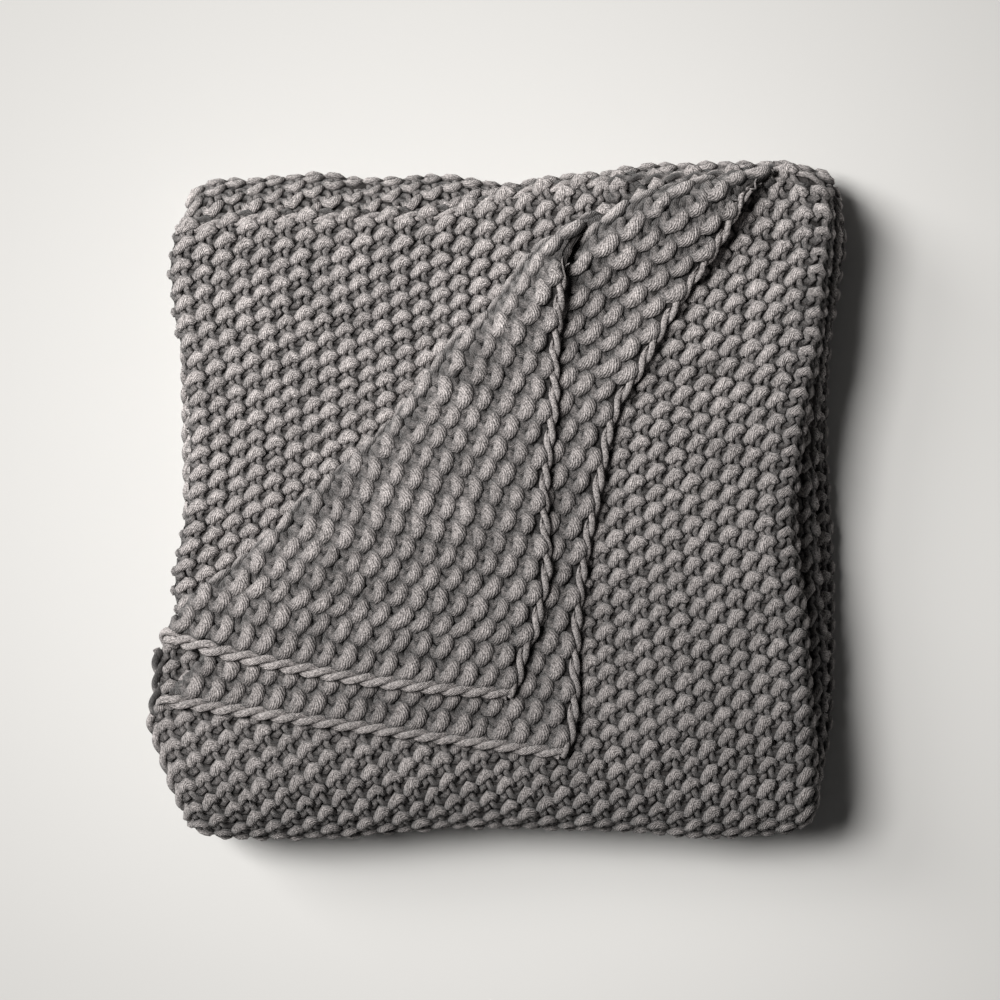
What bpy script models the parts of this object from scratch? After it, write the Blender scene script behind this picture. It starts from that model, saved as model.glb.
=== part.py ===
"""A chunky knit blanket, folded into a square pack with one corner turned back twice.

The blanket is one sheet. Its width is folded in four, its length in three, so
twelve plies lie one on another. The two top plies are turned back at the upper
left corner, each over a loose roll. Plan sizes are in millimetres from the middle
of the pack: x to the right, y towards the upper edge of the pack.
"""
import math

import bmesh
import bpy
from mathutils import Vector

MM = 1e-3
PLY = 7.5          # height from one ply to the next
CLOTH = 6.5        # thickness of the knit as it is pressed in the pack
PLIES = 4          # plies across the folded width
PANELS = 3         # panels along the folded length
FOLD_OUT = (PLIES - 0.5) * PLY + CLOTH / 2      # outer radius of the big folds
SWELL = 1.6        # how much the top rises and dips

# Outlines of each panel, as (y, x)
RIGHT_1 = [(-224, 215), (-184, 216), (-122, 212), (-75, 208), (-41, 204), (-14, 202),
           (7, 203), (48, 208), (75, 212), (102, 218), (122, 221), (156, 224),
           (180, 227), (204, 226), (224, 217)]
RIGHT_2 = [(-204, 220), (-177, 222), (-136, 225), (-102, 225), (-75, 222), (-20, 219),
           (34, 218), (75, 221), (102, 225), (136, 230), (170, 234), (204, 234)]
RIGHT_3 = [(-197, 222), (-170, 229), (-129, 232), (-45, 232), (7, 230), (41, 228),
           (105, 230), (139, 235), (163, 239), (177, 241), (211, 237)]
LEFT_FOLD_1 = [(-218, -209), (-177, -218), (-136, -222), (-95, -220), (-54, -224),
               (-20, -218), (0, -215), (34, -213), (82, -216), (99, -218), (116, -222),
               (143, -226), (160, -227), (187, -223), (204, -220)]
SELVEDGE_1 = [(-226, -207), (-212, -213), (-197, -219), (-164, -231), (-150, -235),
              (-122, -232), (204, -232)]
LEFT_2 = [(-204, -210), (0, -214), (170, -217), (211, -216)]
# Outlines as (x, y): the big fold below, the free ends of the plies and the fold above
BOTTOM = [(-222, -225), (-212, -229), (-198, -231), (-136, -231), (-85, -228),
          (-34, -224), (7, -224), (41, -225), (95, -227), (136, -231), (188, -228),
          (203, -226), (212, -222), (220, -214), (230, -203)]
END_UNDER = [(-228, 184), (-211, 186), (-197, 188), (-172, 192), (-136, 193),
             (-68, 194), (-32, 197), (-5, 205), (22, 211), (55, 216), (103, 220),
             (177, 223), (204, 223), (218, 215), (228, 203)]
END_TOP = [(68, 194), (95, 196), (136, 204), (182, 223), (197, 227), (207, 226),
           (216, 221), (224, 209), (228, 201)]
TOP_FOLD = [(-215, 212), (-203, 220), (-190, 222), (-175, 222), (-143, 225), (-120, 226),
            (-97, 222), (-50, 225), (-23, 223), (5, 219), (26, 223), (69, 227),
            (103, 232), (191, 234), (211, 231), (227, 226), (237, 213)]

# Each turned corner: outermost line of its roll and free end, both from the left
# selvedge upwards as (x, y), and the radius of the roll as (share of the line, radius)
UPPER = {
    "ply": 1,
    "crease": [(-233, -97), (-215, -70), (-198, -59), (-164, -31), (-135, -2),
               (-76, 50), (-57, 75), (-42, 95), (-18, 118), (0, 137), (16, 160),
               (47, 186), (63, 194), (69, 195)],
    "edge": [(5, -133), (11, -124), (17, -101), (24, -88), (27, -70), (32, -48),
             (30, 0), (32, 27), (37, 69), (37, 99), (42, 148), (47, 171), (58, 184),
             (72, 190)],
    "radius": [(0, 5.5), (0.25, 7.5), (0.5, 10), (0.75, 14), (0.9, 17), (0.97, 11),
               (1, 5)],
    "sag": 7,
}
LOWER = {
    "ply": 0,
    "crease": [(-236, -140), (-218, -122), (-177, -83), (-136, -43), (-95, -3),
               (-54, 37), (-14, 83), (20, 126), (51, 170), (75, 195), (97, 206),
               (124, 213), (158, 220), (174, 225), (183, 228)],
    "edge": [(41, -174), (47, -164), (51, -133), (51, -109), (54, -65), (60, -23),
             (65, 0), (73, 43), (80, 66), (92, 84), (109, 115), (123, 138),
             (147, 173), (167, 208), (184, 221)],
    "radius": [(0, 3.75), (0.5, 3.75), (0.62, 4.5), (0.75, 8), (0.87, 12), (0.95, 9),
               (1, 4)],
    "sag": 0,
}

# How the sheet is divided
CORNER_COLUMNS = {0: 16, 1: 14}       # columns under a turned corner, by ply
BESIDE_COLUMNS = {0: 2, 1: 4}         # columns from there to the right fold
PLAIN_COLUMNS = 6
WIDE_FOLD_STEPS = 7
TIGHT_FOLD_STEPS = 5
PANEL_ROWS = [0, 0.16, 0.32, 0.48, 0.64, 0.76, 0.85, 0.9, 0.94, 0.97, 1]
HIDDEN_ROWS = 4
BIG_FOLD_STEPS = 8
ROLL_ROWS = 6
FLAP_ROWS = 5
FLAP_SHARE = 0.55


def read(table, at):
    """Value of a table at a place, on a smooth curve through its rows."""
    if at <= table[0][0]:
        return table[0][1]
    if at >= table[-1][0]:
        return table[-1][1]
    i = max(j for j in range(len(table) - 1) if table[j][0] <= at)

    def slope(j):
        low, high = max(j - 1, 0), min(j + 1, len(table) - 1)
        return (table[high][1] - table[low][1]) / (table[high][0] - table[low][0])

    span = table[i + 1][0] - table[i][0]
    t = (at - table[i][0]) / span
    return ((2 * t ** 3 - 3 * t ** 2 + 1) * table[i][1]
            + (t ** 3 - 2 * t ** 2 + t) * span * slope(i)
            + (3 * t ** 2 - 2 * t ** 3) * table[i + 1][1]
            + (t ** 3 - t ** 2) * span * slope(i + 1))


def ease(t):
    t = min(max(t, 0.0), 1.0)
    return t * t * (3 - 2 * t)


def by_length(points):
    """Two tables, x and y, over the share of a line's length."""
    lengths = [0.0]
    for (x0, y0), (x1, y1) in zip(points, points[1:]):
        lengths.append(lengths[-1] + math.hypot(x1 - x0, y1 - y0))
    shares = [length / lengths[-1] for length in lengths]
    return ([(s, p[0]) for s, p in zip(shares, points)],
            [(s, p[1]) for s, p in zip(shares, points)])


def on_line(tables, share):
    return Vector((read(tables[0], share), read(tables[1], share)))


def ply_height(ply, panel):
    """Height of the middle of a ply; the panels lie back and forth."""
    count = PANELS * PLIES - 1
    place = {0: count - ply, 1: PLIES + ply, 2: PLIES - 1 - ply}[panel]
    return CLOTH / 2 + place * PLY


BIG_FOLD_HEIGHT = CLOTH / 2 + (2 * PLIES - 0.5) * PLY
TOP_FOLD_HEIGHT = CLOTH / 2 + (PLIES - 0.5) * PLY
TOP_HEIGHT = ply_height(0, 0)


def drape(x, y, z):
    """The top panel follows the fold below it down where it reaches past it."""
    past = y - (read(TOP_FOLD, x) - FOLD_OUT)
    radius = z - TOP_FOLD_HEIGHT
    if past <= 0:
        return z
    return TOP_FOLD_HEIGHT + math.sqrt(max(radius ** 2 - past ** 2, 0.3 * radius ** 2))


def swell(x, y, z):
    wave = (math.sin(x / 61 + 0.6) * math.cos(y / 47 - 0.4)
            + 0.6 * math.sin(x / 33 - y / 52 + 1.9))
    return z + SWELL * wave * z / TOP_HEIGHT


def side(panel, y, which):
    """Middle of the left or right fold, or the left selvedge."""
    if which == "right":
        outline = (RIGHT_1, RIGHT_2, RIGHT_3)[panel]
        return read(outline, y) - (PLIES / 2 - 0.5) * PLY - CLOTH / 2
    if which == "left":
        outline = (LEFT_FOLD_1, LEFT_2, LEFT_2)[panel]
        return read(outline, y) + PLY / 2 + CLOTH / 2
    return read((SELVEDGE_1, LEFT_2, LEFT_2)[panel], y)


class Corner:
    """A corner of one ply, rolled over and laid down towards the lower right."""

    def __init__(self, sizes, under=None):
        self.ply = sizes["ply"]
        self.crease = by_length(sizes["crease"])
        self.edge = by_length(sizes["edge"])
        self.radii = sizes["radius"]
        self.sag = sizes["sag"]
        self.under = under
        self.base = ply_height(self.ply, 0)
        self.line = [self.axis(i / 60) for i in range(61)]

    def axis(self, share):
        """Point under the axis of the roll, its direction and its outward side."""
        step = 0.05
        ahead = on_line(self.crease, min(share + step, 1))
        along = (ahead - on_line(self.crease, max(share - step, 0))).normalized()
        out = Vector((-along.y, along.x))
        radius = read(self.radii, share)
        return (on_line(self.crease, share) - out * (radius + CLOTH / 2), along, out,
                radius)

    def rest(self, x, y):
        """Height the turned corner has at a place in plan."""
        here = Vector((x, y))
        axis, _, out, radius = min(self.line, key=lambda a: (a[0] - here).length_squared)
        inside = max(-(here - axis).dot(out), 0)
        if self.under is None:
            extra = 2 * radius - PLY
            fall = 1 - ease(inside / (15 + 3 * extra))
            return self.base + PLY + extra * fall
        below = self.under.rest(x, y)
        low = min(self.under.line, key=lambda a: (a[0] - here).length_squared)
        extra = 2 * (radius - PLY - low[3])
        return below + PLY + extra * (1 - ease(inside / (20 + 1.6 * radius)))

    def lengths(self, share):
        axis, along, out, radius = self.axis(share)
        reach = on_line(self.edge, share) - axis
        over = reach.dot(out)
        if over > 0:
            end = math.acos(min(over / radius, 1))
            return radius * (end + math.pi / 2), 0.0
        return radius * math.pi, -over

    def place(self, share, length):
        """Point on the turned corner: along its crease, and from its foot on."""
        axis, along, out, radius = self.axis(share)
        roll, flap = self.lengths(share)
        reach = on_line(self.edge, share) - axis
        part = length / (roll + flap)
        slide = along * reach.dot(along) * part
        if length <= roll:
            turn = length / radius - math.pi / 2
            spot = axis + out * radius * math.cos(turn) + slide
            return spot.x, spot.y, self.base + radius * (1 + math.sin(turn))
        spot = axis - out * (length - roll) + slide
        sag = self.sag * math.sin(math.pi * part) * (1 - share) ** 4
        return spot.x, spot.y - sag, self.rest(spot.x, spot.y)


LOW_CORNER = Corner(LOWER)
CORNERS = {0: LOW_CORNER, 1: Corner(UPPER, LOW_CORNER)}


def columns():
    """Places across the sheet, from one selvedge to the other.

    Each is (depth among the plies, share of the way to the right, offset, left side,
    share of the crease if it is under a turned corner).
    """
    found = []
    middle = (PLIES - 1) / 2
    for ply, left in ((0, "selvedge"), (3, "left"), (2, "left"), (1, "selvedge")):
        row = []
        if ply in CORNERS:
            count = CORNER_COLUMNS[ply]
            corner = CORNERS[ply]
            start = side(0, 0, left)
            width = side(0, 0, "right") - start
            for i in range(count + 1):
                share = ease(i / count) * 0.35 + i / count * 0.65
                at = (corner.axis(share)[0].x - start) / width
                row.append((ply, at, 0.0, left, share))
            last = row[-1][1]
            for i in range(1, BESIDE_COLUMNS[ply] + 1):
                at = last + (1 - last) * i / BESIDE_COLUMNS[ply]
                row.append((ply, at, 0.0, left, None))
        else:
            for i in range(PLAIN_COLUMNS + 1):
                row.append((ply, i / PLAIN_COLUMNS, 0.0, left, None))
        found.append(row)
    top, bottom, under, second = found

    def fold(centre, radius, steps, turn, at, left):
        made = []
        for i in range(1, steps):
            angle = math.pi * i / steps
            depth = centre - radius * math.cos(angle) * turn
            made.append((depth, at, radius * PLY * math.sin(angle) * (1 if at else -1),
                         left, None))
        return made

    sheet = list(top)
    sheet += fold(middle, middle, WIDE_FOLD_STEPS, 1, 1, "left")
    sheet += list(reversed(bottom))
    sheet += fold(2.5, 0.5, TIGHT_FOLD_STEPS, -1, 0, "left")
    sheet += list(under)
    sheet += fold(middle, 0.5, TIGHT_FOLD_STEPS, -1, 1, "left")
    sheet += list(reversed(second))
    return sheet


def across(column, panel, y):
    depth, share, offset, left, _ = column
    low = side(panel, y, left)
    return low + share * (side(panel, y, "right") - low) + offset


def free_end(column, x):
    depth = column[0]
    under = ease((depth - 1) / 1.0) if depth < 2 else 1.0
    if x < END_TOP[0][0]:
        under = 1.0
    return (1 - under) * read(END_TOP, x) + under * read(END_UNDER, x)


def lengthwise(column):
    """Points of one column, from the top end of the first panel to the last end."""
    depth = column[0]
    points = []
    middle = across(column, 0, 0)
    foot = read(BOTTOM, across(column, 0, -190)) + FOLD_OUT
    crease = None
    if column[4] is not None:
        crease = CORNERS[column[0]].axis(column[4])[0]
        head = crease.y
    else:
        head = free_end(column, across(column, 0, 200))
    height = ply_height(depth, 0)
    for share in reversed(PANEL_ROWS):
        y = foot + share * (head - foot)
        x = across(column, 0, y)
        if crease is not None:
            x += ease(share) * (crease.x - across(column, 0, head))
        points.append((x, y, drape(x, y, height)))
    for i in range(1, BIG_FOLD_STEPS):
        angle = math.pi * i / BIG_FOLD_STEPS
        radius = (PLIES - 0.5 - depth) * PLY
        y = foot - radius * math.sin(angle)
        share = i / BIG_FOLD_STEPS
        x = (1 - share) * across(column, 0, y) + share * across(column, 1, y)
        points.append((x, y, BIG_FOLD_HEIGHT + radius * math.cos(angle)))
    top = read(TOP_FOLD, across(column, 1, 190)) - FOLD_OUT
    for i in range(HIDDEN_ROWS + 1):
        y = foot + (top - foot) * i / HIDDEN_ROWS
        points.append((across(column, 1, y), y, ply_height(depth, 1)))
    for i in range(1, BIG_FOLD_STEPS):
        angle = math.pi * i / BIG_FOLD_STEPS
        radius = (0.5 + depth) * PLY
        y = top + radius * math.sin(angle)
        share = i / BIG_FOLD_STEPS
        x = (1 - share) * across(column, 1, y) + share * across(column, 2, y)
        points.append((x, y, TOP_FOLD_HEIGHT + radius * math.cos(angle)))
    last = foot - FOLD_OUT + 5
    for i in range(HIDDEN_ROWS + 1):
        y = top + (last - top) * i / HIDDEN_ROWS
        points.append((across(column, 2, y), y, ply_height(depth, 2)))
    return points


def turned(column):
    """Points of one column over its turned corner, from its end to the roll's foot."""
    corner = CORNERS[column[0]]
    roll, flap = corner.lengths(column[4])
    total = roll + flap
    bend = min(roll, FLAP_SHARE * total)
    stops = [bend * i / ROLL_ROWS for i in range(1, ROLL_ROWS + 1)]
    stops += [bend + (total - bend) * i / FLAP_ROWS for i in range(1, FLAP_ROWS + 1)]
    points = []
    for stop in stops:
        x, y, z = corner.place(column[4], min(stop, total * 0.9999))
        points.append((x, y, drape(x, y, z)))
    return points


for old in list(bpy.data.objects):
    bpy.data.objects.remove(old, do_unlink=True)

collection = bpy.data.collections.new("folded_blanket")
bpy.context.scene.collection.children.link(collection)

bm = bmesh.new()


def vertex(point):
    x, y, z = point
    return bm.verts.new((x * MM, y * MM, swell(x, y, z) * MM))


def weave(strips):
    """Faces between neighbouring columns of vertices."""
    for left, right in zip(strips, strips[1:]):
        for i in range(len(left) - 1):
            bm.faces.new((left[i], right[i], right[i + 1], left[i + 1]))


sheet = columns()
strips = [[vertex(point) for point in lengthwise(column)] for column in sheet]
weave(strips)
for ply in CORNERS:
    group = [(column, strip) for column, strip in zip(sheet, strips)
             if column[0] == ply and column[4] is not None]
    weave([[strip[0]] + [vertex(point) for point in turned(column)]
           for column, strip in group])

bmesh.ops.recalc_face_normals(bm, faces=bm.faces)
bmesh.ops.triangulate(bm, faces=bm.faces)
mesh = bpy.data.meshes.new("blanket")
bm.to_mesh(mesh)
bm.free()
blanket = bpy.data.objects.new("blanket", mesh)
collection.objects.link(blanket)

shell = blanket.modifiers.new("cloth", "SOLIDIFY")
shell.thickness = CLOTH * MM
shell.offset = 0
shell.use_even_offset = False

# The origin goes to the middle of the underside
bpy.context.view_layer.update()
solid = blanket.evaluated_get(bpy.context.evaluated_depsgraph_get()).to_mesh()
low = [min(v.co[i] for v in solid.vertices) for i in range(3)]
high = [max(v.co[i] for v in solid.vertices) for i in range(3)]
shift = Vector((-(low[0] + high[0]) / 2, -(low[1] + high[1]) / 2, -low[2]))
for point in mesh.vertices:
    point.co += shift

knit = bpy.data.materials.new("knit")
knit.use_nodes = True
shader = knit.node_tree.nodes["Principled BSDF"]
shader.inputs["Base Color"].default_value = (0.21, 0.2, 0.19, 1)
shader.inputs["Roughness"].default_value = 0.92
mesh.materials.append(knit)
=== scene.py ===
"""The look of the folded chunky knit blanket: its yarn, edges, light and floor.

Plan sizes are in millimetres from the middle of the pack, x to the right and y to
the upper edge. Across the sheet the place is s, from one selvedge to the other;
along it the place is t, from the bound-off end to the cast-on end.
"""
import math

import bpy
import numpy as np
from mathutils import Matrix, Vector


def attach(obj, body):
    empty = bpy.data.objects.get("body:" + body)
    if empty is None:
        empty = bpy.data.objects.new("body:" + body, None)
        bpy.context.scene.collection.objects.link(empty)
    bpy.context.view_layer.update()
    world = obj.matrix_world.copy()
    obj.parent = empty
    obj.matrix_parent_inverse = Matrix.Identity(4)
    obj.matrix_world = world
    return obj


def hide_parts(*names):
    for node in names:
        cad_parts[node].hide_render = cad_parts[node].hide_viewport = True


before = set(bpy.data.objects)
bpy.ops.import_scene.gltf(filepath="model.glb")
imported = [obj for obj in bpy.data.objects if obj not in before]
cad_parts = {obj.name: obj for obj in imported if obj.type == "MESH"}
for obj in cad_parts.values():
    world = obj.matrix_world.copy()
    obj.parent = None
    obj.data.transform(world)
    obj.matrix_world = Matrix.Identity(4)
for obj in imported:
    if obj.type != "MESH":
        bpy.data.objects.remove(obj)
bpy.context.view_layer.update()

MM = 1e-3
PLY = 7.5                          # from the middle of a ply to the next
CLOTH = 6.5                        # thickness of the cloth's solid
HALF_BACKING = 0.6                 # half the thickness of the cloth behind the loops
PLIES = 4                          # plies across, in each third of the length
PANELS = 3                         # thirds of the length
FOLD_OUT = (PLIES - 0.5) * PLY + CLOTH / 2     # how far a big fold reaches out
SWELL = 1.6                        # unevenness of the pile's top
ORIGIN = (-3.05, -1.19, 0.08)      # from the plan's middle to the frame's

STITCH = 13.0                      # width of a stitch
FLAP_STITCH = 15.6                 # the same where a corner is turned back
FLAP_YARN = 1.3                    # and how much thicker the yarn is laid there
ROW = 6.95                         # height of a row
DEPTH = 2.3                        # how far a loop goes to the front and the back
FLATTENED = 0.76                   # the yarn's height over its width
LEAN = 0.32                        # how much a loop's right side is above its left
FLAP_LEAN = -0.3                   # the same on the turned corners' other face
SHEAR = 0.06                       # how far a loop's head is to the right
SELVEDGE_WIDE = 7.0                # width that the selvedge's own stitches take
TUCK = 2.0                         # how far the end's chain covers the first row
ROW_RISE = 0.08                    # slope of the rows, fading past the lower fold
STEEPER = (270.0, 0.12)            # from here across they rise by so much more
END_ROPE = 1.9                     # reach of the strands along the bound-off ends
SIDE_ROPE = 2.4                    # and along the selvedges
ROPE_IN = 0.4                      # how far in from the free end a chain's middle is
ROPE_SUNK = 1.5                    # how deep a turned corner's rope lies in the cloth
TIP_TAPER = 25                     # length over which its end rope thins to the tip
FLAP_SHADE_SHIFT = 1.6                  # added to the height that sets the painted shade, lightening turned loops
ROPE_SHADE_SHIFT = -4.0                 # the same for the turned corners' ropes
END_SHADE_SHIFT = 3.0                   # and for the chains along the ends
LOWEST_YARN = 0.3                  # height of the lowest yarn over the floor
SEED = 7

# One stitch's loop along its yarn: part of the way, across in stitches, up in rows,
# to the front in depths, radius of the yarn in mm. The second half mirrors the first.
LOOP_HALF = [
    (0.0, 0.0, -0.85, 0.1, 2.7),
    (0.1, 0.27, -0.85, 0.4, 2.5),
    (0.19, 0.36, -0.4, 0.85, 2.5),
    (0.27, 0.24, 0.05, 0.3, 2.8),
    (0.35, 0.12, 0.02, 0.8, 3.5),
    (0.5, 0.5, 0.74, 1.25, 3.95),
]
# The same where a corner is turned back and the other face shows
TURNED_HALF = [
    (0.0, 0.0, -0.85, 0.1, 3.0),
    (0.1, 0.27, -0.85, 0.3, 2.9),
    (0.19, 0.37, -0.45, 0.85, 2.9),
    (0.27, 0.2, -0.08, 0.55, 3.2),
    (0.35, 0.1, 0.2, 0.82, 3.7),
    (0.5, 0.5, 0.58, 1.25, 4.2),
]
FINE_PARTS = (0.0, 0.09, 0.17, 0.25, 0.31, 0.36, 0.43)
MIDDLE_PARTS = (0.0, 0.09, 0.18, 0.26, 0.34, 0.42)
COARSE_PARTS = (0.0, 0.1, 0.2, 0.3, 0.4)


class Table:
    """A smooth curve through rows of (place, value)."""

    def __init__(self, rows):
        self.x, self.y = (np.array(part, float) for part in zip(*rows))
        index = np.arange(len(rows))
        low = np.maximum(index - 1, 0)
        high = np.minimum(index + 1, len(rows) - 1)
        self.slope = (self.y[high] - self.y[low]) / (self.x[high] - self.x[low])

    def __call__(self, at):
        at = np.clip(at, self.x[0], self.x[-1])
        i = np.clip(np.searchsorted(self.x, at, side="right") - 1, 0, len(self.x) - 2)
        span = self.x[i + 1] - self.x[i]
        t = (at - self.x[i]) / span
        return ((2 * t ** 3 - 3 * t ** 2 + 1) * self.y[i]
                + (t ** 3 - 2 * t ** 2 + t) * span * self.slope[i]
                + (3 * t ** 2 - 2 * t ** 3) * self.y[i + 1]
                + (t ** 3 - t ** 2) * span * self.slope[i + 1])


# Outlines of each third of the length, from the top one down, as (y, x)
RIGHT = [
    Table([(-224, 215), (-184, 216), (-122, 212), (-75, 208), (-41, 204), (-14, 202),
           (7, 203), (48, 208), (75, 212), (102, 218), (122, 221), (156, 224),
           (180, 227), (204, 226), (224, 217)]),
    Table([(-204, 220), (-177, 222), (-136, 225), (-102, 225), (-75, 222), (-20, 219),
           (34, 218), (75, 221), (102, 225), (136, 230), (170, 234), (204, 234)]),
    Table([(-197, 222), (-170, 229), (-129, 232), (-45, 232), (7, 230), (41, 228),
           (105, 230), (139, 235), (163, 239), (177, 241), (211, 237)]),
]
LEFT_2 = Table([(-204, -210), (0, -214), (170, -217), (211, -216)])
LEFT_FOLD = [
    Table([(-218, -209), (-177, -218), (-136, -222), (-95, -220), (-54, -224),
           (-20, -218), (0, -215), (34, -213), (82, -216), (99, -218), (116, -222),
           (143, -226), (160, -227), (187, -223), (204, -220)]),
    LEFT_2,
    LEFT_2,
]
SELVEDGE = [
    Table([(-226, -207), (-212, -213), (-197, -219), (-164, -231), (-150, -235),
           (-122, -232), (204, -232)]),
    LEFT_2,
    LEFT_2,
]
# Outlines as (x, y): the big fold below, the free ends of the plies, the fold above
BOTTOM = Table([(-222, -225), (-212, -229), (-198, -231), (-136, -231), (-85, -228),
                (-34, -224), (7, -224), (41, -225), (95, -227), (136, -231), (188, -228),
                (203, -226), (212, -222), (220, -214), (230, -203)])
END_UNDER = Table([(-228, 184), (-211, 186), (-197, 188), (-172, 192), (-136, 193),
                   (-68, 194), (-32, 197), (-5, 205), (22, 211), (55, 216), (103, 220),
                   (177, 223), (204, 223), (218, 215), (228, 203)])
END_TOP = Table([(-235, 214), (68, 219), (182, 223), (197, 227), (207, 226), (216, 221),
                 (224, 209), (228, 201)])
TOP_FOLD = Table([(-215, 212), (-203, 220), (-190, 222), (-175, 222), (-143, 225),
                  (-120, 226), (-97, 222), (-50, 225), (-23, 223), (5, 219), (26, 223),
                  (69, 227), (103, 232), (191, 234), (211, 231), (227, 226), (237, 213)])

# The turned corners, the upper laid on the lower: ply, outermost line of the roll, free
# end, radius of the roll by share of its length, how far the laid part sags to the
# lower edge, and the length at the tip that has no rope
UPPER = {
    "ply": 1,
    "crease": [(-233, -97), (-215, -70), (-198, -59), (-164, -31), (-135, -2),
               (-76, 50), (-57, 75), (-42, 95), (-18, 118), (0, 137), (16, 160),
               (47, 186), (63, 194), (69, 195)],
    "edge": [(5, -133), (11, -124), (17, -101), (24, -88), (27, -70), (32, -48),
             (30, 0), (32, 27), (37, 69), (37, 99), (42, 148), (47, 171), (58, 184),
             (72, 190)],
    "radius": [(0, 5.5), (0.25, 7.5), (0.5, 10), (0.75, 14), (0.9, 17), (0.97, 11),
               (1, 5)],
    "sag": 7,
    "tip": 42,
}
LOWER = {
    "ply": 0,
    "crease": [(-236, -140), (-218, -122), (-177, -83), (-136, -43), (-95, -3),
               (-54, 37), (-14, 83), (20, 126), (51, 170), (75, 195), (97, 206),
               (124, 213), (158, 220), (174, 225), (183, 228)],
    "edge": [(41, -174), (47, -164), (51, -133), (51, -109), (54, -65), (60, -23),
             (65, 0), (73, 43), (80, 66), (92, 84), (109, 115), (123, 138),
             (147, 173), (167, 208), (184, 221)],
    "radius": [(0, 3.75), (0.5, 3.75), (0.62, 4.5), (0.75, 8), (0.87, 12), (0.95, 9),
               (1, 4)],
    "sag": 0,
    "tip": 9,
}


def zone_of(ends, at):
    return np.clip(np.searchsorted(ends, at, side="right") - 1, 0, len(ends) - 2)


def ease(t):
    t = np.clip(t, 0.0, 1.0)
    return t * t * (3 - 2 * t)


def ply_height(depth, panel):
    place = (PANELS * PLIES - 1 - depth, PLIES + depth, PLIES - 1 - depth)[panel]
    return CLOTH / 2 + place * PLY


BIG_FOLD_HEIGHT = CLOTH / 2 + (2 * PLIES - 0.5) * PLY
TOP_FOLD_HEIGHT = CLOTH / 2 + (PLIES - 0.5) * PLY
TOP_HEIGHT = ply_height(0, 0)


def drape(x, y, z):
    """The top third's height, rounded down where it runs into the upper fold."""
    past = np.maximum(y - (TOP_FOLD(x) - FOLD_OUT), 0)
    radius = z - TOP_FOLD_HEIGHT
    return TOP_FOLD_HEIGHT + np.sqrt(np.maximum(radius ** 2 - past ** 2,
                                                0.3 * radius ** 2))


def swell(x, y, z):
    """The unevenness of a soft pile, growing with height."""
    wave = (np.sin(x / 61 + 0.6) * np.cos(y / 47 - 0.4)
            + 0.6 * np.sin(x / 33 - y / 52 + 1.9))
    return z + SWELL * wave * z / TOP_HEIGHT


def in_frame(x, y, z):
    return np.stack([x + ORIGIN[0], y + ORIGIN[1], swell(x, y, z) + ORIGIN[2]], -1)


# Stretches across the sheet and along it
ACROSS = [431.0, math.pi * 1.5 * PLY, 412.0, math.pi * 0.5 * PLY, 412.0,
          math.pi * 0.5 * PLY, 431.0]
ALONG = [421.0, math.pi * 3.5 * PLY, 393.0, math.pi * 3.5 * PLY, 417.0]
ACROSS_ENDS = np.cumsum([0] + ACROSS)
ALONG_ENDS = np.cumsum([0] + ALONG)
TOP_PLY, WIDE_FOLD, FOURTH_PLY, LEFT_TURN, THIRD_PLY, RIGHT_TURN, SECOND_PLY = range(7)
TOP_THIRD, LOWER_FOLD, MIDDLE_THIRD, UPPER_FOLD, LAST_THIRD = range(5)


def across_at(s):
    """Depth among the plies, share of the way right, offset, at the selvedge or not."""
    zone = zone_of(ACROSS_ENDS, s)
    part = (s - ACROSS_ENDS[zone]) / np.array(ACROSS)[zone]
    turn = np.clip(part, 0, 1) * math.pi
    bend = np.sin(turn) * PLY
    depth = np.choose(zone, [part * 0, 1.5 - 1.5 * np.cos(turn), part * 0 + 3,
                             2.5 + 0.5 * np.cos(turn), part * 0 + 2,
                             1.5 + 0.5 * np.cos(turn), part * 0 + 1])
    share = np.choose(zone, [part, part * 0 + 1, 1 - part, part * 0, part,
                             part * 0 + 1, 1 - part])
    offset = np.choose(zone, [part * 0, 1.5 * bend, part * 0, -0.5 * bend, part * 0,
                              0.5 * bend, part * 0])
    return depth, share, offset, (zone == TOP_PLY) | (zone == SECOND_PLY)


def plan_x(panel, y, share, offset, selvedge):
    right = RIGHT[panel](y) - (PLIES / 2 - 0.5) * PLY - CLOTH / 2
    left = np.where(selvedge, SELVEDGE[panel](y),
                    LEFT_FOLD[panel](y) + PLY / 2 + CLOTH / 2)
    return left + share * (right - left) + offset


def sheet_at(s, t):
    """Points of the middle of the sheet where it isn't turned back."""
    depth, share, offset, selvedge = across_at(s)
    kind = (share, offset, selvedge)
    zone = zone_of(ALONG_ENDS, t)
    part = (t - ALONG_ENDS[zone]) / np.array(ALONG)[zone]
    foot = BOTTOM(plan_x(0, -190, *kind)) + FOLD_OUT
    top = TOP_FOLD(plan_x(1, 190, *kind)) - FOLD_OUT
    near = plan_x(0, 200, *kind)
    under = ease(depth - 1)
    head = (1 - under) * END_TOP(near) + under * END_UNDER(near)
    last = foot - FOLD_OUT + 5
    turn = np.clip(part, 0, 1) * math.pi
    big = (PLIES - 0.5 - depth) * PLY
    small = (0.5 + depth) * PLY
    y = np.choose(zone, [head + part * (foot - head), foot - big * np.sin(turn),
                         foot + part * (top - foot), top + small * np.sin(turn),
                         top + part * (last - top)])
    x = np.choose(zone, [plan_x(0, y, *kind),
                         (1 - part) * plan_x(0, y, *kind) + part * plan_x(1, y, *kind),
                         plan_x(1, y, *kind),
                         (1 - part) * plan_x(1, y, *kind) + part * plan_x(2, y, *kind),
                         plan_x(2, y, *kind)])
    z = np.choose(zone, [drape(x, y, ply_height(depth, 0)),
                         BIG_FOLD_HEIGHT + big * np.cos(turn), ply_height(depth, 1),
                         TOP_FOLD_HEIGHT + small * np.cos(turn), ply_height(depth, 2)])
    return in_frame(x, y, z)


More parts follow.
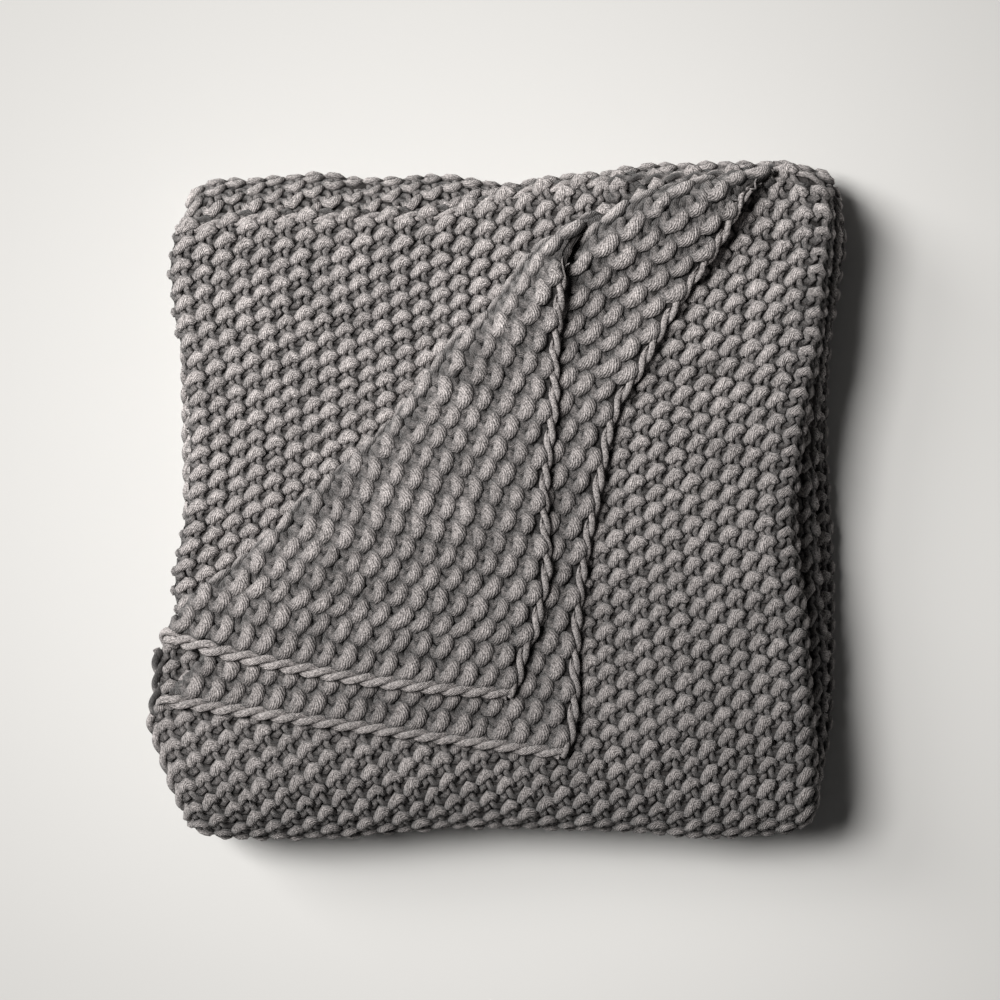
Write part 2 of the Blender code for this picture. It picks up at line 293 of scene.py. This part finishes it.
class Line:
    """A line in plan, over the share of its length."""

    def __init__(self, points):
        points = np.array(points, float)
        steps = np.hypot(*np.diff(points, axis=0).T)
        shares = np.concatenate([[0], np.cumsum(steps)]) / steps.sum()
        self.x = Table(list(zip(shares, points[:, 0])))
        self.y = Table(list(zip(shares, points[:, 1])))
        fine = self(np.linspace(0, 1, 401))
        self.length = float(np.hypot(*np.diff(fine, axis=0).T).sum())

    def __call__(self, share):
        return np.stack([self.x(share), self.y(share)], -1)


class Corner:
    """A corner of one ply, rolled over and laid down towards the lower right."""

    STEPS = 240

    def __init__(self, sizes, below=None):
        self.ply = sizes["ply"]
        self.crease = Line(sizes["crease"])
        self.edge = Line(sizes["edge"])
        self.sag = sizes["sag"]
        self.roped = self.edge.length - sizes["tip"]
        self.below = below
        self.base = ply_height(self.ply, 0)
        self.shares = np.linspace(0, 1, self.STEPS + 1)
        step = 0.05
        ahead = self.crease(np.minimum(self.shares + step, 1))
        along = ahead - self.crease(np.maximum(self.shares - step, 0))
        self.along = along / np.linalg.norm(along, axis=1)[:, None]
        self.out = np.stack([-self.along[:, 1], self.along[:, 0]], -1)
        self.radius = Table(sizes["radius"])(self.shares)
        self.axis = (self.crease(self.shares)
                     - self.out * (self.radius + CLOTH / 2)[:, None])

    def at(self, values, share):
        if values.ndim == 1:
            return np.interp(share, self.shares, values)
        return np.stack([np.interp(share, self.shares, v) for v in values.T], -1)

    def nearest(self, spot):
        away = ((spot[:, None, 0] - self.axis[None, :, 0]) ** 2
                + (spot[:, None, 1] - self.axis[None, :, 1]) ** 2)
        return away.argmin(1)

    def rest(self, spot):
        """Height at which the laid part rests on what is under it."""
        i = self.nearest(spot)
        inside = np.maximum(-((spot - self.axis[i]) * self.out[i]).sum(1), 0)
        radius = self.radius[i]
        if self.below is None:
            extra = 2 * radius - PLY
            return self.base + PLY + extra * (1 - ease(inside / (15 + 3 * extra)))
        low = self.below.radius[self.below.nearest(spot)]
        extra = 2 * (radius - PLY - low)
        return (self.below.rest(spot) + PLY
                + extra * (1 - ease(inside / (20 + 1.6 * radius))))

    def slant(self, share):
        """How far the free end is shifted along the crease."""
        reach = self.edge(share) - self.at(self.axis, share)
        return (reach * self.at(self.along, share)).sum(-1)

    def lengths(self, share):
        """Lengths of cloth in the roll and laid past it, square to the crease."""
        reach = self.edge(share) - self.at(self.axis, share)
        over = (reach * self.at(self.out, share)).sum(-1)
        radius = self.at(self.radius, share)
        end = np.arccos(np.clip(over / radius, 0, 1))
        return radius * (end + math.pi / 2), np.maximum(-over, 0)

    def place(self, share, back):
        """Points at a share of the crease, so far back from the free end."""
        roll, flap = self.lengths(share)
        slant = self.slant(share)
        back = back * (roll + flap) / np.hypot(roll + flap, slant)
        length = roll + flap - back
        axis, along = self.at(self.axis, share), self.at(self.along, share)
        out, radius = self.at(self.out, share), self.at(self.radius, share)
        part = length / (roll + flap)
        slide = along * (slant * part)[:, None]
        turn = np.minimum(length, roll) / radius - math.pi / 2
        past = np.maximum(length - roll, 0)
        spot = axis + out * (radius * np.cos(turn) * (past <= 0) - past)[:, None] + slide
        sag = self.sag * np.sin(math.pi * np.clip(part, 0, 1)) * (1 - share) ** 4
        spot[:, 1] -= sag * (past > 0)
        z = np.where(past > 0, self.rest(spot), self.base + radius * (1 + np.sin(turn)))
        return in_frame(spot[:, 0], spot[:, 1], drape(spot[:, 0], spot[:, 1], z))

    def fold_at(self, s, t):
        return self.place(np.clip(s / self.edge.length, 0, 1), t)

    def cover(self):
        """Outline in plan of what lies on the ply below."""
        shares = np.linspace(0, 1, 60)
        return np.concatenate([self.at(self.axis, shares), self.edge(shares)[::-1]])

    def rim(self):
        """Places along its free end and its selvedge."""
        shares = np.linspace(0, 1, 200)
        bottom = (self.at(self.axis, np.zeros(80))
                  + (self.edge(np.zeros(80)) - self.at(self.axis, np.zeros(80)))
                  * np.linspace(0, 1, 80)[:, None])
        return np.concatenate([self.edge(shares), bottom])


LOW = Corner(LOWER)
HIGH = Corner(UPPER, LOW)


def slid(s, t):
    """Where along the sheet a row lies: the rows rise to the right."""
    x = across_at(s)[1] * ACROSS[0]
    steeper_from, steeper_by = STEEPER
    rise = ROW_RISE * x + steeper_by * np.maximum(x - steeper_from, 0)
    start = np.where(s < ACROSS_ENDS[2], 1.0, ease(t / 250))
    tuck = TUCK * (1 - ease(t / 60)) * (s > ACROSS_ENDS[2])
    return t - tuck - rise * start * (1 - ease((t - ALONG_ENDS[2]) / 300))


def knit_at(s, t):
    return sheet_at(s, slid(s, t))


def surface(at, s, t):
    """Points of a surface and the way it faces."""
    step = 0.6
    here = at(s, t)
    along = at(s + step, t) - at(s - step, t)
    down = at(s, t + step) - at(s, t - step)
    face = np.cross(down, along)
    return here, face / np.maximum(np.linalg.norm(face, axis=1), 1e-9)[:, None]


def in_plan(points):
    return points[:, :2] - np.array(ORIGIN[:2])


def runs(flags):
    """First and past-last place of each stretch of true flags."""
    steps = np.diff(np.concatenate([[0], flags.astype(int), [0]]))
    return zip(np.flatnonzero(steps == 1), np.flatnonzero(steps == -1))


def inside(spot, outline):
    """Which places lie inside a closed outline in plan."""
    x, y = spot[:, 0][:, None], spot[:, 1][:, None]
    x0, y0 = outline[:, 0][None], outline[:, 1][None]
    x1, y1 = np.roll(outline[:, 0], -1)[None], np.roll(outline[:, 1], -1)[None]
    crossed = (y0 > y) != (y1 > y)
    with np.errstate(divide="ignore", invalid="ignore"):
        where = x0 + (y - y0) * (x1 - x0) / (y1 - y0)
    return (crossed & (x < where)).sum(1) % 2 == 1


def clearance(spot, rim):
    """How far each place is from the nearest place of a rim."""
    away = ((spot[:, None, 0] - rim[None, :, 0]) ** 2
            + (spot[:, None, 1] - rim[None, :, 1]) ** 2)
    return np.sqrt(away.min(1))


def under_corner(corner, spot):
    """Hidden below a turned corner, clear of what shows past its lifted end."""
    deep = clearance(spot, corner.rim()) > 14 + 14 * ease((spot[:, 1] - 20) / 120)
    return inside(spot, corner.cover()) & deep


class Loop:
    """A stitch along its yarn, the second half mirroring the first."""

    def __init__(self, half):
        self.across, self.up, self.front, self.radius = (
            self.mirrored(half, column, column == 1) for column in (1, 2, 3, 4))

    @staticmethod
    def mirrored(half, column, turned):
        first = [(row[0], row[column]) for row in half]
        second = [(1 - part, 1 - value if turned else value)
                  for part, value in first[-2::-1]]
        return Table(first + second)


PLAIN, TURNED = Loop(LOOP_HALF), Loop(TURNED_HALF)


def smooth_noise(x, y, seed, size):
    """Slow change over the sheet, mostly between -1 and 1."""
    rng = np.random.default_rng(SEED + seed)
    total = np.zeros(np.broadcast(x, y).shape)
    for _ in range(6):
        angle, phase = rng.uniform(0, 2 * math.pi, 2)
        pace = 2 * math.pi / (size * rng.uniform(0.7, 1.6))
        total += np.sin((x * math.cos(angle) + y * math.sin(angle)) * pace + phase)
    return total / 3


def course(first, last, row, pitch, parts, size, loop=PLAIN, lean=LEAN):
    """One row's yarn over a run of stitches: places s and t, height and radius."""
    shares = np.array(parts + (0.5,) + tuple(1 - p for p in parts[:0:-1]))
    stitch = np.append(np.repeat(np.arange(first, last), len(shares)), last - 1)
    part = np.append(np.tile(shares, last - first), 1.0)
    along = stitch + part
    own = np.random.default_rng(1000 * SEED + row).normal(0, 1, (5, 400))
    own = np.clip(own, -2, 2)[:, stitch.astype(int) % 400]
    own[:4] *= np.sin(math.pi * part) ** 2
    side = np.where((stitch + row) % 2 == 0, 1.0, -1.0)
    rise = (loop.up(part) * (1 + 0.08 * smooth_noise(along * 2, row * 3.0, 2, 6))
            - side * lean * np.sin(2 * math.pi * part)
            * (1 + 0.35 * own[4]))
    s = (stitch + loop.across(part) + side * SHEAR * (loop.up(part) - loop.up(0))) * pitch
    s = s + 0.6 * smooth_noise(along * 14, row * 7.0, 4, 26) + 0.5 * own[0]
    t = ((row + 0.5 - rise) * ROW + 0.6 * smooth_noise(along * 14, row * 7.0, 5, 22)
         + 0.45 * own[1])
    radius = loop.radius(part) * (1 + 0.07 * own[2]) * size
    return s, t, side * (loop.front(part) * DEPTH + 0.25 * own[3]), radius


def rope(start, end, half_turn, reach, points=8):
    """Two strands wound along an edge: places along and out of it, height, radius."""
    count = max(int(round((end - start) / half_turn)), 1)
    along = np.arange(count * points + 1) / points
    place = start + along * (end - start) / count
    for first in (0.0, math.pi):
        turn = math.pi * along + first
        uneven = 1 + 0.06 * smooth_noise(place, place * 0, 8, 40)
        yield (place, reach * np.cos(turn), reach * np.sin(turn),
               1.15 * reach * uneven)


def put(name, data):
    """A new object in the scene."""
    made = bpy.data.objects.new(name, data)
    bpy.context.scene.collection.objects.link(made)
    return made


class Strands:
    """Tubes of yarn gathered into one mesh."""

    def __init__(self, sides):
        self.sides = sides
        self.points, self.corners, self.marks, self.depths = [], [], [], []
        self.count = 0
        self.strand = 0

    def add(self, line, face, radius, lift):
        if len(line) < 3:
            return
        tangent = np.gradient(line, axis=0)
        length = np.maximum(np.linalg.norm(tangent, axis=1), 1e-9)
        tangent /= length[:, None]
        up = face - tangent * (face * tangent).sum(1)[:, None]
        up /= np.maximum(np.linalg.norm(up, axis=1), 1e-6)[:, None]
        side = np.cross(tangent, up)
        turn = 2 * math.pi * np.arange(self.sides) / self.sides + math.pi
        rise = FLATTENED * np.cos(turn)[None, :, None] * up[:, None]
        ring = line[:, None] + radius[:, None, None] * (
            rise + np.sin(turn)[None, :, None] * side[:, None])
        self.points.append(ring.reshape(-1, 3))
        # Height out of the cloth, kept for the material's painted shade and highlight
        height = lift[:, None] + ((ring - line[:, None]) * face[:, None]).sum(-1)
        self.depths.append(np.abs(height).ravel())
        rows, sides = len(line), self.sides
        a = self.count + (np.arange(rows - 1)[:, None] * sides
                          + np.arange(sides)[None]).ravel()
        b = self.count + (np.arange(rows - 1)[:, None] * sides
                          + (np.arange(sides)[None] + 1) % sides).ravel()
        self.corners.append(np.stack([a, b, b + sides, a + sides], -1))
        run = np.cumsum(length) + self.strand * 3.7
        u0 = np.tile(np.arange(sides) / sides, rows - 1)
        v0 = np.repeat(run[:-1], sides)
        v1 = np.repeat(run[1:], sides)
        self.marks.append(np.stack([u0, v0, u0 + 1 / sides, v0, u0 + 1 / sides, v1,
                                    u0, v1], -1))
        self.count += rows * sides
        self.strand += 1

    def build(self, name, material):
        points = np.concatenate(self.points) * MM
        points[:, 2] = np.maximum(points[:, 2], LOWEST_YARN * MM)
        corners = np.concatenate(self.corners)
        mesh = bpy.data.meshes.new(name)
        mesh.vertices.add(len(points))
        mesh.vertices.foreach_set("co", points.ravel())
        mesh.loops.add(corners.size)
        mesh.loops.foreach_set("vertex_index", corners.ravel())
        mesh.polygons.add(len(corners))
        mesh.polygons.foreach_set("loop_start", np.arange(0, corners.size, 4))
        mesh.update(calc_edges=True)
        mesh.polygons.foreach_set("use_smooth", np.ones(len(corners), bool))
        marks = mesh.uv_layers.new(name="strand")
        marks.data.foreach_set("uv", np.concatenate(self.marks).ravel())
        depths = mesh.attributes.new("recess_shade_height", "FLOAT", "POINT")
        depths.data.foreach_set("value", np.concatenate(self.depths))
        mesh.materials.append(material)
        piece = put(name, mesh)
        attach(piece, "root")


# The last argument is added to the height that sets the yarn's painted shade and
# highlight
def lay(strands, at, s, t, lift, radius, shade_shift=0.0):
    here, face = surface(at, s, t)
    strands.add(here + face * lift[:, None], face, radius, lift + shade_shift)


def link(tree, source, target):
    tree.links.new(source, target)


def maths(tree, operation, first, second=None):
    made = tree.nodes.new("ShaderNodeMath")
    made.operation = operation
    for socket, value in zip(made.inputs, (first, second)):
        if value is None:
            continue
        if isinstance(value, (int, float)):
            socket.default_value = value
        else:
            link(tree, value, socket)
    return made.outputs[0]


def weighed(tree, *parts):
    """Sum of the sources, each times its weight."""
    total = None
    for source, weight in reversed(parts):
        part = maths(tree, "MULTIPLY", source, weight)
        total = part if total is None else maths(tree, "ADD", part, total)
    return total


def texture(tree, kind, source, **values):
    made = tree.nodes.new(kind)
    for name, value in values.items():
        made.inputs[name].default_value = value
    link(tree, source, made.inputs["Vector"])
    return made.outputs


def ranged(tree, source, limits, smooth=True):
    """A source moved from one range to another: limits are from, from, to, to."""
    made = tree.nodes.new("ShaderNodeMapRange")
    if smooth:
        made.interpolation_type = "SMOOTHSTEP"
    for name, value in zip(("From Min", "From Max", "To Min", "To Max"), limits):
        made.inputs[name].default_value = value
    link(tree, source, made.inputs["Value"])
    return made.outputs[0]


def ramp(tree, source, stops):
    """A colour from two stops, each a place and a colour."""
    made = tree.nodes.new("ShaderNodeValToRGB")
    for stop, (place, colour) in zip(made.color_ramp.elements, stops):
        stop.position = place
        stop.color = (*colour, 1)
    link(tree, source, made.inputs[0])
    return made.outputs[0]


def bump(tree, height, distance, shader):
    made = tree.nodes.new("ShaderNodeBump")
    made.inputs["Distance"].default_value = distance
    link(tree, height, made.inputs["Height"])
    link(tree, made.outputs[0], shader.inputs["Normal"])


def uneven_sheen(tree, noise, shader):
    """Rough all over, a little less where the noise is low."""
    link(tree, ranged(tree, noise, (0, 1, 0.84, 1.0), smooth=False),
         shader.inputs["Roughness"])


def new_material(name):
    """A material with its tree, its shader and the object's own coordinates."""
    material = bpy.data.materials.new(name)
    material.use_nodes = True
    tree = material.node_tree
    place = tree.nodes.new("ShaderNodeTexCoord").outputs["Object"]
    return material, tree, tree.nodes["Principled BSDF"], place


YARN_STRANDS = 14                  # strands wound round the yarn
TWIST = 32                         # length of yarn in which they go round once
YARN_DARK, YARN_LIGHT = (0.17, 0.155, 0.151), (0.84, 0.772, 0.757)
RECESS_SHADE = (0.8, 6.5, 0.16, 1.25)       # from deep to proud, and the tone there: painted shade in the recesses, painted highlight on proud yarn
PAINTED_SHADE_SLOPE = (-0.28, 0.23, 0.55, 1.13)           # from lower right to upper left, and the tone there: painted shade
# The cloth behind the loops is near black: painted shade in the gaps between them
SHADED_BACKING_LIGHT, SHADED_BACKING_DARK = (0.1, 0.092, 0.09), (0.025, 0.023, 0.022)
# The floor's colour falls off away from the pack: a painted pool of light
FLOOR_POOL_NEAR, FLOOR_POOL_FAR = (0.79, 0.782, 0.768), (0.585, 0.578, 0.566)


def yarn_material():
    material, tree, shader, place = new_material("grey_yarn")
    shader.inputs["Specular IOR Level"].default_value = 0.18
    shader.inputs["Sheen Weight"].default_value = 0.25
    shader.inputs["Sheen Roughness"].default_value = 0.6
    marks = tree.nodes.new("ShaderNodeUVMap")
    marks.uv_map = "strand"
    parts = tree.nodes.new("ShaderNodeSeparateXYZ")
    link(tree, marks.outputs[0], parts.inputs[0])
    around, run = parts.outputs[0], parts.outputs[1]
    # The strands wind round the yarn, a little unevenly
    uneven = texture(tree, "ShaderNodeTexNoise", place, Scale=260)["Fac"]
    twist = maths(tree, "ADD",
                  maths(tree, "ADD", around, maths(tree, "MULTIPLY", run, 1 / TWIST)),
                  maths(tree, "MULTIPLY", uneven, 0.08))
    wound = maths(tree, "ABSOLUTE", maths(tree, "SINE", maths(
        tree, "MULTIPLY", twist, math.pi * YARN_STRANDS)))
    # Fibres, streaks along the strands and slow patches give the mottled colour
    fibres = texture(tree, "ShaderNodeTexNoise", place, Scale=820, Detail=2)["Fac"]
    streak = tree.nodes.new("ShaderNodeCombineXYZ")
    link(tree, maths(tree, "MULTIPLY", twist, 11), streak.inputs[0])
    link(tree, maths(tree, "MULTIPLY", run, 0.13), streak.inputs[1])
    streaks = texture(tree, "ShaderNodeTexNoise", streak.outputs[0], Scale=1.6,
                      Detail=4, Roughness=0.6)["Fac"]
    patches = texture(tree, "ShaderNodeTexNoise", place, Scale=38, Detail=2)["Fac"]
    colour = ramp(tree, weighed(tree, (streaks, 0.4), (fibres, 0.5), (patches, 0.1)),
                  ((0.4, YARN_DARK), (0.62, YARN_LIGHT)))
    # Painted shade and highlight: yarn deep between the loops is darkened, proud yarn
    # lightened
    depth = tree.nodes.new("ShaderNodeAttribute")
    depth.attribute_name = "recess_shade_height"
    painted_recess_shade = ranged(tree, depth.outputs["Fac"], RECESS_SHADE)
    # Painted shade: the wool is darkened towards the lower right, to about half, for the
    # light falling off across the pack
    spread = tree.nodes.new("ShaderNodeSeparateXYZ")
    link(tree, place, spread.inputs[0])
    painted_slope_shade = ranged(tree, maths(tree, "SUBTRACT", spread.outputs[1],
                              maths(tree, "MULTIPLY", spread.outputs[0], 0.5)), PAINTED_SHADE_SLOPE)
    shade = tree.nodes.new("ShaderNodeVectorMath")
    shade.operation = "SCALE"
    link(tree, colour, shade.inputs[0])
    # The grooves between the wound strands are darkened: painted shade there
    link(tree, maths(tree, "MULTIPLY", maths(tree, "MULTIPLY", painted_recess_shade, painted_slope_shade),
                     maths(tree, "ADD", maths(tree, "MULTIPLY", wound, 0.3), 0.72)),
         shade.inputs["Scale"])
    link(tree, shade.outputs[0], shader.inputs["Base Color"])
    bump(tree, weighed(tree, (wound, 0.28), (streaks, 0.5), (fibres, 0.6)),
         2 * MM, shader)
    uneven_sheen(tree, fibres, shader)
    return material


def shaded_backing_material():
    """The cloth behind the loops, near black: painted shade for the gaps between the
    loops.
    """
    material, tree, shader, place = new_material("shaded_knit_backing")
    shader.inputs["Specular IOR Level"].default_value = 0.1
    loops = texture(tree, "ShaderNodeTexVoronoi", place, Scale=105)["Distance"]
    fibres = texture(tree, "ShaderNodeTexNoise", place, Scale=700)["Fac"]
    link(tree, ramp(tree, loops, ((0, SHADED_BACKING_LIGHT), (1, SHADED_BACKING_DARK))),
         shader.inputs["Base Color"])
    height = maths(tree, "SUBTRACT", maths(tree, "MULTIPLY", fibres, 0.3), loops)
    bump(tree, height, 3 * MM, shader)
    uneven_sheen(tree, fibres, shader)
    return material


def floor_material():
    """Pale, with a painted pool of light: lighter near the pack, darker further out."""
    material, tree, shader, place = new_material("floor")
    shader.inputs["Roughness"].default_value = 0.8
    away = tree.nodes.new("ShaderNodeVectorMath")
    away.operation = "LENGTH"
    link(tree, place, away.inputs[0])
    painted_falloff = ranged(tree, away.outputs["Value"], (0.16, 0.62, 0, 1))
    link(tree, ramp(tree, painted_falloff, ((0, FLOOR_POOL_NEAR), (1, FLOOR_POOL_FAR))),
         shader.inputs["Base Color"])
    return material


YARN_LOOK = yarn_material()
SHADED_BACKING_LOOK = shaded_backing_material()

# The cloth itself, thinner than its solid so that the loops stand on it, darkened as
# painted shade between the loops
cad = bpy.data.objects["blanket"]
cloth_mesh = cad.data.copy()
cloth_mesh.name = "blanket_cloth"
cloth_mesh.transform(cad.matrix_world)
inset = (CLOTH / 2 - HALF_BACKING) * MM
for point, normal in [(v, v.normal.copy()) for v in cloth_mesh.vertices]:
    point.co -= normal * inset
cloth_mesh.materials.clear()
cloth_mesh.materials.append(SHADED_BACKING_LOOK)
for face in cloth_mesh.polygons:
    face.use_smooth = True
    face.material_index = 0
cloth = put("blanket_cloth", cloth_mesh)
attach(cloth, "root")
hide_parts("blanket")

# How much of the hidden cloth carries yarn, for views from the side
UNDER_BIG_FOLD = 45                # length of the middle third past the lower fold
BEFORE_TOP_FOLD = 26               # and before the upper fold
PAST_CREASE = 16                   # width of the third ply covered by the rolls
END_ROWS, SIDE_STITCHES = 3.1, 2.1
HIGH_CREASE_END = 66               # where the upper crease gives way to the lower, in x
THIRD_PLY_END = 190                # how far right the third ply shows
SECOND_PLY_SPOT = (-190, -165)     # the second ply shows left of this and above it


def stitches_shown(s, t, across, along):
    """Which stitches of the folded sheet exist and aren't hidden by other cloth."""
    spot = in_plan(knit_at(s, t))
    x, y = spot.T
    first = along == TOP_THIRD
    low_y, high_y = (np.interp(x, *corner.axis.T) for corner in (LOW, HIGH))
    on_low = (y < low_y) | (x > LOW.axis[-1, 0])
    on_high = (y < high_y) | (x > HIGH.axis[-1, 0])
    exists = ~(first & (((across == TOP_PLY) & ~on_low)
                        | ((across == SECOND_PLY) & ~on_high)))
    exists &= (t > ROW) | (across == THIRD_PLY)
    exists &= (t < ALONG_ENDS[-1] - ROW) & (slid(s, t) > 1)
    shown = (t < END_ROWS * ROW) | (t > ALONG_ENDS[-1] - END_ROWS * ROW)
    shown |= (s < SIDE_STITCHES * STITCH) | (s > ACROSS_ENDS[-1] - SIDE_STITCHES * STITCH)
    shown |= (across == WIDE_FOLD) | (across == LEFT_TURN)
    top, bottom, middle = across == TOP_PLY, across == FOURTH_PLY, along == MIDDLE_THIRD
    shown |= top & first & ~under_corner(LOW, spot)
    shown |= top & (along == LOWER_FOLD)
    shown |= top & middle & (t < ALONG_ENDS[2] + UNDER_BIG_FOLD)
    crease_y = np.where(x < HIGH_CREASE_END, high_y, low_y)
    shown |= ((across == THIRD_PLY) & first & (y > crease_y - PAST_CREASE)
              & (x < THIRD_PLY_END))
    shown |= ((across == SECOND_PLY) & first & (x < SECOND_PLY_SPOT[0])
              & (y > SECOND_PLY_SPOT[1]))
    shown |= bottom & (along == UPPER_FOLD)
    shown |= bottom & middle & (t > ALONG_ENDS[3] - BEFORE_TOP_FOLD)
    return shown & exists


COLUMNS = int(round(ACROSS_ENDS[-1] / STITCH))
ROWS = int(round(ALONG_ENDS[-1] / ROW))
PITCH = ACROSS_ENDS[-1] / COLUMNS
flat_s, flat_t = (places.ravel() for places in np.meshgrid(
    (np.arange(COLUMNS) + 0.5) * PITCH, (np.arange(ROWS) + 0.5) * ROW, indexing="ij"))
zone_s, zone_t = zone_of(ACROSS_ENDS, flat_s), zone_of(ALONG_ENDS, flat_t)
left = stitches_shown(flat_s, flat_t, zone_s, zone_t)

# Name, parts of a loop, corners of the yarn's section, its thickness, stitches. A
# stitch goes to the first piece that has it.
for name, loop_parts, sides, thickness, chosen in [
    ("yarn_top", FINE_PARTS, 7, 1.04, (zone_s == TOP_PLY) & (zone_t == TOP_THIRD)),
    ("yarn_corner", FINE_PARTS, 7, 1.0, (zone_s == THIRD_PLY) & (zone_t == TOP_THIRD)),
    ("yarn_lower_fold", MIDDLE_PARTS, 6, 1.0, zone_s == TOP_PLY),
    ("yarn_upper_fold", MIDDLE_PARTS, 6, 1.0,
     (zone_s == FOURTH_PLY) & (zone_t >= MIDDLE_THIRD)),
    ("yarn_sides", COARSE_PARTS, 6, 1.0, zone_s >= TOP_PLY),
]:
    wanted = (left & chosen).reshape(COLUMNS, ROWS)
    left &= ~chosen
    strands = Strands(sides)
    for row in range(ROWS):
        for start, end in runs(wanted[:, row]):
            s, t, lift, radius = course(start, end, row, PITCH, loop_parts, thickness)
            lay(strands, knit_at, s, t, lift, radius)
    strands.build(name, YARN_LOOK)


def dress_corner(name, corner):
    """Stitches of a turned corner, and the ropes along its end and its selvedge."""
    strands = Strands(7)
    width = corner.edge.length - SELVEDGE_WIDE
    count = int(round(width / FLAP_STITCH))
    pitch = width / count
    middles = SELVEDGE_WIDE + (np.arange(count) + 0.5) * pitch
    shares = middles / corner.edge.length
    whole = np.hypot(sum(corner.lengths(shares)), corner.slant(shares))
    reach = whole - 0.25 * corner.at(corner.radius, shares)
    for row in range(1, int(whole.max() / ROW)):
        back = (row + 0.5) * ROW - TUCK
        there = back < reach
        if corner is LOW:
            spot = in_plan(corner.fold_at(middles, np.full(count, back)))
            there &= ~under_corner(HIGH, spot)
        for start, end in runs(there):
            s, t, lift, radius = course(start, end, row, pitch, FINE_PARTS,
                                        FLAP_YARN, TURNED, FLAP_LEAN)
            lay(strands, corner.fold_at, s + SELVEDGE_WIDE, t - TUCK, lift, radius,
                FLAP_SHADE_SHIFT)
    for place, out, lift, radius in rope(0, corner.roped, pitch, END_ROPE):
        taper = 0.2 + 0.8 * ease((corner.roped - place) / TIP_TAPER)
        lay(strands, corner.fold_at, place, ROPE_IN + out, lift - ROPE_SUNK,
            radius * taper, ROPE_SHADE_SHIFT)
    for place, out, lift, radius in rope(0, whole[0], 2 * ROW, SIDE_ROPE):
        lay(strands, corner.fold_at, out + SELVEDGE_WIDE / 2 - 1, place,
            -lift - ROPE_SUNK, radius, ROPE_SHADE_SHIFT)
    strands.build(name, YARN_LOOK)


dress_corner("yarn_upper_corner", HIGH)
dress_corner("yarn_lower_corner", LOW)

# Chains along the ends, and ropes along the selvedges that aren't turned back
strands = Strands(6)
for place, out, lift, radius in rope(0, ACROSS_ENDS[-1], STITCH, END_ROPE):
    x = in_plan(sheet_at(place, place * 0))[:, 0]
    zone = zone_of(ACROSS_ENDS, place)
    real = ~(((zone == TOP_PLY) & (x < LOW.axis[-1, 0]))
             | ((zone == SECOND_PLY) & (x < HIGH.axis[-1, 0])))
    for low, high in runs(real):
        lay(strands, sheet_at, place[low:high], ROPE_IN + out[low:high],
            lift[low:high] + 1, radius[low:high], END_SHADE_SHIFT)
    lay(strands, sheet_at, place, ALONG_ENDS[-1] - 0.6 + out, lift, radius, END_SHADE_SHIFT)
for place, out, lift, radius in rope(0, ALONG_ENDS[-1], 2 * ROW, SIDE_ROPE):
    for edge, corner in ((-1, LOW), (ACROSS_ENDS[-1] + 1, HIGH)):
        y = in_plan(sheet_at(place * 0 + edge, place))[:, 1]
        real = (place > ALONG[0]) | (y < corner.axis[0, 1])
        lay(strands, sheet_at, (edge + out)[real], place[real], lift[real],
            radius[real], END_SHADE_SHIFT)
strands.build("yarn_ends", YARN_LOOK)

# Floor, light and camera, in metres
FLOOR_HALF = 6.0
LAMP_COLOUR = (1.0, 0.99, 0.97)
HEIGHT = 2.5                       # of the camera over the floor
PIXEL = 0.68 * MM                  # what a pixel of the picture spans on the pack's top
PICTURE = 1000                     # width of the picture in pixels
SENSOR = 36                        # width of the camera's sensor, in mm

floor_mesh = bpy.data.meshes.new("floor")
floor_mesh.from_pydata([(x * FLOOR_HALF, y * FLOOR_HALF, 0)
                        for x, y in ((-1, -1), (1, -1), (1, 1), (-1, 1))],
                       [], [(0, 1, 2, 3)])
floor_mesh.materials.append(floor_material())
put("floor", floor_mesh)


def lamp(name, place, size, power):
    light = bpy.data.lights.new(name, "AREA")
    light.shape = "SQUARE"
    light.size = size
    light.energy = power
    light.color = LAMP_COLOUR
    made = put(name, light)
    made.location = place
    made.rotation_euler = (-Vector(place)).to_track_quat("-Z", "Y").to_euler()


lamp("window", (-3.4, 1.35, 6.2), 2.5, 500)
lamp("side", (-5.3, 2.8, 4.2), 2.7, 230)

world = bpy.data.worlds.new("studio")
world.use_nodes = True
sky = world.node_tree.nodes["Background"]
sky.inputs["Color"].default_value = (1, 0.99, 0.98, 1)
sky.inputs["Strength"].default_value = 0.04
bpy.context.scene.world = world

camera = bpy.data.cameras.new("camera")
camera.sensor_width = SENSOR
camera.lens = SENSOR * (HEIGHT - TOP_HEIGHT * MM) / (PICTURE * PIXEL)
eye = put("camera", camera)
eye.location = (ORIGIN[0] * MM, ORIGIN[1] * MM, HEIGHT)
bpy.context.scene.camera = eye
bpy.context.scene.view_settings.view_transform = "Standard"
